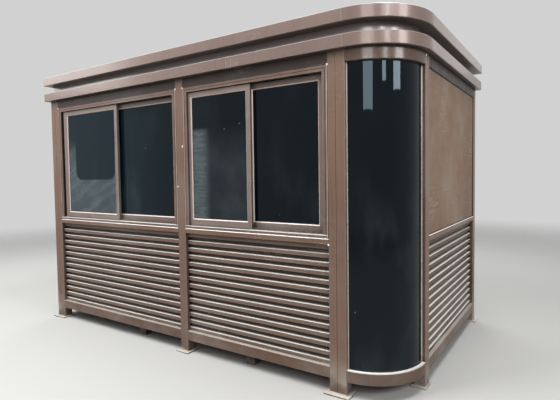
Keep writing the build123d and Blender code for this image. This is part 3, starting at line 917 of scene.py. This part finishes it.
def corner_fillers():
    """Small domes of filler where headers and sills meet the posts, and two dabs on a post.

    Each one is a quarter of an ellipse turned about the line into the wall.
    """
    turn = np.linspace(0, pi / 2, 6)
    dome = np.stack([np.cos(turn) * FILLER_RADIUS, -np.sin(turn) * FILLER_HEIGHT], axis=-1)
    grids = []
    for wall, x, z in FILLER_DABS:
        inwards = WALLS[wall][:3, INWARDS]
        grids.append(turned(dome, on_wall(wall, (x, FILLER_SINK, z)), inwards, steps=16))
    return piece("corner_fillers", grids, "pale_filler")


# Louvres: black strips in the open ends of the recesses, as painted shade

END_SHADE_THICKNESS = 0.003
END_SHADE_ROUNDING = 0.001
END_SHADE_DEPTHS = (SLAT_FACE + 0.003, SLAT_RECESS - 0.001)


def louvre_end_shade_strips():
    """Black strips carried straight up each end of the louvre cladding, behind the slats' faces, as
    painted shade.
    """
    front, back = END_SHADE_DEPTHS
    profile = rounded_profile(END_SHADE_THICKNESS, back - front, END_SHADE_ROUNDING)
    grids = []
    for wall, bay in LOUVRE_BAYS:
        for x in (bay[0] + END_SHADE_THICKNESS / 2, bay[1] - END_SHADE_THICKNESS / 2):
            strip = shifted(profile, x, (front + back) / 2)
            grids.append(straight_bar(wall, strip, UP, (RAIL_TOP, SILL_BOTTOM)))
    return piece("louvre_end_shade_strips", grids, "seal_rubber")


# Flat panels: a line of black sealant round each tray, which also paints the shadow line in the step,
# as (distance into the bay, depth)

PANEL_SEAL_AND_SHADE = np.array([(0.0, 0.0095), (0.0, 0.0035), (0.003, 0.0055), (0.0055, 0.0095)])


def panel_seals_and_shade_lines():
    """Black sealant in the step between each flat panel and its frame, carried round the panel; it also
    paints the shadow line there.
    """
    levels = (SILL_TOP, HEADER_BOTTOM)
    grids = [wall_ring(wall, bay, levels, PANEL_SEAL_AND_SHADE) for wall, bay in PANEL_BAYS]
    return piece("panel_seals_and_shade_lines", grids, "seal_rubber", wrap_rows=True)


# Curved corner: silicone at the foot and head of the glass, as (out from the glass, up along it)

GLASS_SEAL = np.array([(0.0, 0.0), (0.004, 0.0), (0.0015, 0.003), (0.0, 0.006)])


def corner_glass_seals():
    """Silicone carried round the curve where the glass stands on the rail and meets the header."""
    grids = []
    for level, side in ((RAIL_TOP, 1), (HEADER_BOTTOM, -1)):
        grids.append(corner_bar(shifted(GLASS_SEAL * (1, side), GLASS_RADIUS, level)))
    return piece("corner_glass_seals", grids, "seal_rubber")


# Cornice: splice covers and butt joints

STRAP_END = 0.025
SPLICE_WIDTH = 0.051
SPLICE_THICKNESS = 0.0012
JOINT_WIDTH = 0.0015
JOINT_THICKNESS = 0.0005


def band_outline(band, lift):
    """The outside of a folded band as (depth, height), each corner moved outwards by a lift."""
    overhang, (low, high) = band
    face, end, cut = -overhang, STRAP_END - overhang, BAND_EDGE_CUT
    line = np.array([
        (end, low), (face + cut, low), (face, low + cut),
        (face, high - cut), (face + cut, high), (end, high),
    ])
    outwards = np.array([(0, -1), (-0.4, -1), (-1, -0.4), (-1, 0.4), (-0.4, 1), (0, 1)])
    return line + outwards * lift


def band_strap(wall, band, start, end, thickness):
    """A thin strap that wraps a band's face and edges between two places along a wall.

    Its profile runs out along the lifted outline and back along the sheet itself.
    """
    profile = np.concatenate([band_outline(band, thickness), band_outline(band, 0.0)[::-1]])
    return straight_bar(wall, profile, ALONG, (start, end))


def cornice_splices():
    """Straps over the joints in the cornice sheets, one on the front and two on the back."""
    places = [("front", LOWER_BAND, 2.508), ("back", LOWER_BAND, 1.300), ("back", UPPER_BAND, 2.550)]
    grids = [
        band_strap(wall, band, start, start + SPLICE_WIDTH, SPLICE_THICKNESS)
        for wall, band, start in places
    ]
    return piece("cornice_splices", grids, "cornice_coat")


def cornice_joints():
    """Hairline straps where the curved sheets of the cornice meet the straight ones."""
    half = JOINT_WIDTH / 2
    grids = [
        band_strap(wall, band, x - half, x + half, JOINT_THICKNESS)
        for band in (LOWER_BAND, UPPER_BAND)
        for wall, x in (("front", CURVE_START), ("right", CORNER_RADIUS))
    ]
    return piece("cornice_joints", grids, "joint_filler")


# Base: weld beads where the posts stand on their plates

WELD_RADIUS = 0.006
WELD_RIPPLE = 0.12
RIPPLE_TURN = 2.4
WELD_STEPS = 24


def round_loop(corners, steps):
    """Points round a closed line of corners: each corner plus even shares of the way to the next."""
    share = np.linspace(0, 1, steps, endpoint=False)[None, :, None]
    way = np.roll(corners, -1, axis=0) - corners
    return (corners[:, None, :] + way[:, None, :] * share).reshape(-1, 2)


def post_welds():
    """A rippled weld round the foot of each post.

    The bead is a quarter circle with its centre on the post's edge. Its radius is multiplied by
    one plus a small sine that turns by a fixed angle from point to point.
    """
    turn = np.linspace(0, pi / 2, 5)
    lean = round_loop(-QUADRANTS, WELD_STEPS)
    ripple = 1 + WELD_RIPPLE * np.sin(np.arange(len(lean)) * RIPPLE_TURN)
    radius = (WELD_RADIUS * ripple)[:, None]
    out = np.concatenate([np.cos(turn), [0.0]])[None] * radius
    rise = np.concatenate([np.sin(turn), [0.0]])[None] * radius
    grids = []
    for wall, start, end in POSTS:
        foot = round_loop(rectangle((start, end), (0.0, TUBE)), WELD_STEPS)
        flat = foot[:, None, :] + lean[:, None, :] * out[..., None]
        bead = np.stack([flat[..., 0], flat[..., 1], PLATE_TOP + rise], axis=-1)
        grids.append(on_wall(wall, bead))
    return piece("post_welds", grids, "weld_metal", wrap_rows=True, smooth_angle=60)


# Roof: standing seams

SEAM_COUNT = 6
SEAM_WIDTH = 0.022
SEAM_HEIGHT = 0.018
SEAM_ROUNDING = 0.003
SEAM_END_DISTANCE = 0.55
SEAM_CLEARANCE = 0.01


def roof_seams():
    """Evenly spaced seams, a rounded profile carried straight across the sunken roof sheet."""
    profile = rounded_profile(SEAM_WIDTH, SEAM_HEIGHT, SEAM_ROUNDING)
    limits = (TUBE + SEAM_CLEARANCE, 2 * HALF_WIDTH - TUBE - SEAM_CLEARANCE)
    middle = ROOF_TOP + SEAM_HEIGHT / 2
    places = np.linspace(SEAM_END_DISTANCE, LENGTH - SEAM_END_DISTANCE, SEAM_COUNT)
    grids = [straight_bar("front", shifted(profile, x, middle), INWARDS, limits) for x in places]
    return piece("roof_seams", grids, "roof_sheet")


# Door: seal, threshold and lock

DOOR_SEAL_WIDTH = 0.0026
DOOR_SEAL_DEPTH = 0.008
DOOR_SEAL_ROUNDING = 0.0008
THRESHOLD_DEPTHS = (0.004, 0.019)
THRESHOLD_RIBS = 5
THRESHOLD_HEIGHT = 0.0014
RIB_HEIGHT = 0.0006
LOCK_OUTLINE = np.array([(0.0, 0.004), (0.0085, 0.004), (0.0095, 0.003), (0.0095, 0.0)])


def door_leaf_limits():
    """The leaf's limits along the wall and in height."""
    side = DOOR_FRAME_WIDTH + DOOR_GAP
    return (DOOR_BAY[0] + side, DOOR_BAY[1] - side), (RAIL_TOP + DOOR_GAP, HEADER_BOTTOM - side)


def door_seal():
    """A rounded rubber strip carried round the leaf, set back in the gap beside the frame."""
    x, z = door_leaf_limits()
    depth = DOOR_SETBACK + DOOR_THICKNESS * 0.75
    strip = rounded_profile(DOOR_SEAL_WIDTH, DOOR_SEAL_DEPTH, DOOR_SEAL_ROUNDING)
    ring = wall_ring("back", x, z, shifted(strip, -DOOR_GAP / 2, depth))
    return piece("door_seal", [ring], "seal_rubber", wrap_rows=True)


def door_threshold():
    """A ribbed aluminium strip on the rail under the door, whose top is a row of cosine waves."""
    x = (DOOR_BAY[0] + DOOR_FRAME_WIDTH, DOOR_BAY[1] - DOOR_FRAME_WIDTH)
    steps = 6 * THRESHOLD_RIBS + 1
    wave = np.cos(np.linspace(0, 2 * pi * THRESHOLD_RIBS, steps))
    height = RAIL_TOP + THRESHOLD_HEIGHT + RIB_HEIGHT * wave
    top = np.stack([np.linspace(*THRESHOLD_DEPTHS, steps), height], axis=-1)
    base = np.array([(depth, RAIL_TOP) for depth in reversed(THRESHOLD_DEPTHS)])
    strip = straight_bar("back", np.concatenate([top, base]), ALONG, x)
    return piece("door_threshold", [strip], "bead_aluminium")


def door_lock():
    """A lock cylinder on the outer handle plate: a small outline turned about the line outwards."""
    x, _ = door_leaf_limits()
    centre = (x[0] + HANDLE_EDGE_DISTANCE, DOOR_SETBACK - HANDLE_PLATE_THICKNESS, LOCK_HEIGHT)
    outwards = -WALLS["back"][:3, INWARDS]
    cylinder = turned(LOCK_OUTLINE, on_wall("back", centre), outwards)
    return piece("door_lock", [cylinder], "handle_steel")


pane_gaskets()
# Black strips along each post's edge paint the shade in the gap between post and frame
jamb_lines("jamb_gap_shade", limits=(0.0, 0.003), thickness=0.0005, finish="seal_rubber")
jamb_lines("jamb_sealant", limits=(0.003, 0.008), thickness=0.0015, finish="joint_filler")
jamb_piles()
corner_fillers()
louvre_end_shade_strips()
panel_seals_and_shade_lines()
corner_glass_seals()
cornice_splices()
cornice_joints()
post_welds()
roof_seams()
door_seal()
door_threshold()
door_lock()


# Stage, light and camera

FLOOR_HALF_SIZE = 14.0
FLOOR_FADE = (12.5, 5.5)
FLOOR_SEEN = (0.44, 0.44, 0.43)
FLOOR_THROWN_BACK = (0.28, 0.28, 0.27)
BACKDROP_LEVEL = 0.64
EVEN_LIGHT_LEVEL = 0.17


def pale_floor():
    """A pale floor that fades into the backdrop with distance from the booth.

    The light that it throws back onto the booth is that of a darker floor.
    """
    limits = (-FLOOR_HALF_SIZE, FLOOR_HALF_SIZE)
    corners = [(x, y, 0) for x, y in rectangle(limits, limits)]
    mesh = bpy.data.meshes.new("studio_floor")
    mesh.from_pydata(corners, [], [(0, 1, 2, 3)])
    floor = bpy.data.objects.new("studio_floor", mesh)
    scene.collection.objects.link(floor)
    material, tree, shader = new_material("studio_floor", Roughness=0.9, Specular_IOR_Level=0.1)
    path = add(tree, "LightPath").outputs
    colour = colour_mix(tree, path["Is Diffuse Ray"], FLOOR_SEEN, FLOOR_THROWN_BACK)
    tree.links.new(colour, shader["Base Color"])
    from_middle = vector_length(tree, object_place(tree))
    tree.links.new(ramp(tree, from_middle, *FLOOR_FADE), shader["Alpha"])
    mesh.materials.append(material)


def pale_world():
    """A pale backdrop for the camera and for mirror images, and a low even light for the rest."""
    world = bpy.data.worlds.new("pale_world")
    world.use_nodes = True
    tree = world.node_tree
    background = tree.nodes["Background"]
    path = add(tree, "LightPath").outputs
    mirrored = math(tree, "MAXIMUM", path["Is Glossy Ray"], path["Is Transmission Ray"])
    seen = math(tree, "MAXIMUM", path["Is Camera Ray"], mirrored)
    level = math(tree, "MAXIMUM", EVEN_LIGHT_LEVEL, product(tree, seen, BACKDROP_LEVEL))
    tree.links.new(level, background.inputs["Strength"])
    background.inputs["Color"].default_value = (1.0, 1.0, 1.0, 1.0)
    scene.world = world


def softbox(name, target, azimuth, elevation, distance, size, radiance):
    """A rectangular lamp that faces a target from a direction; its power gives that radiance.

    Azimuth is counted from +X towards +Y. Power is radiance x pi x area.
    """
    lamp = bpy.data.lights.new(name, "AREA")
    lamp.shape = "RECTANGLE"
    lamp.size, lamp.size_y = size
    lamp.energy = radiance * pi * size[0] * size[1]
    holder = bpy.data.objects.new(name, lamp)
    turn, rise = radians(azimuth), radians(elevation)
    away = Vector((cos(turn) * cos(rise), sin(turn) * cos(rise), sin(rise)))
    holder.location = Vector(target) + away * distance
    holder.rotation_euler = away.to_track_quat("Z", "Y").to_euler()
    holder.visible_camera = False
    scene.collection.objects.link(holder)


def photo_camera():
    """The camera at the photograph's place, turned by its yaw, pitch and roll."""
    yaw, pitch, roll = (radians(angle) for angle in (CAMERA_YAW, CAMERA_PITCH, CAMERA_ROLL))
    forward = Vector((-sin(yaw) * cos(pitch), cos(yaw) * cos(pitch), -sin(pitch)))
    level_right = Vector((cos(yaw), sin(yaw), 0))
    level_up = level_right.cross(forward)
    right = cos(roll) * level_right + sin(roll) * level_up
    up = -sin(roll) * level_right + cos(roll) * level_up
    data = bpy.data.cameras.new("camera")
    data.lens = CAMERA_LENS
    data.sensor_width = SENSOR_WIDTH
    data.shift_x, data.shift_y = CAMERA_SHIFT
    camera = bpy.data.objects.new("camera", data)
    turn = Matrix((right, up, -forward)).transposed().to_4x4()
    camera.matrix_world = Matrix.Translation(CAMERA_PLACE) @ turn
    scene.collection.objects.link(camera)
    scene.camera = camera


# What each lamp faces
BOOTH_MIDDLE = (0.0, 0.0, 1.3)
FRONT_LEFT = (-0.8, 0.0, 1.3)
LEFT_HEAD = (-1.5, -1.1, 2.3)
CORNER_HEAD = (1.85, -1.0, 2.3)
SIDE_HEAD = (2.0, 0.2, 2.4)

pale_floor()
pale_world()
softbox("front_key", FRONT_LEFT, -120, 54, 7.0, (5.0, 3.5), 13.5)
softbox("left_box", LEFT_HEAD, -149, 20.5, 8.0, (3.0, 2.8), 5.5)
softbox("corner_strip", CORNER_HEAD, -71.5, 15, 6.0, (2.1, 2.2), 7.5)
softbox("middle_strip", CORNER_HEAD, -37, 18, 5.8, (0.8, 1.7), 11.0)
softbox("right_strip", CORNER_HEAD, -8, 17.5, 6.0, (1.7, 2.0), 13.0)
softbox("head_strip", CORNER_HEAD, -34, 24, 6.2, (3.0, 1.2), 6.0)
softbox("side_box", SIDE_HEAD, 78, 16, 8.0, (2.4, 1.4), 0.5)
softbox("right_key", BOOTH_MIDDLE, 5, 67, 7.0, (4.0, 3.0), 12.5)
softbox("back_fill", BOOTH_MIDDLE, 118, 38, 8.0, (6.0, 3.0), 4.5)
photo_camera()

scene.view_settings.view_transform = "Standard"
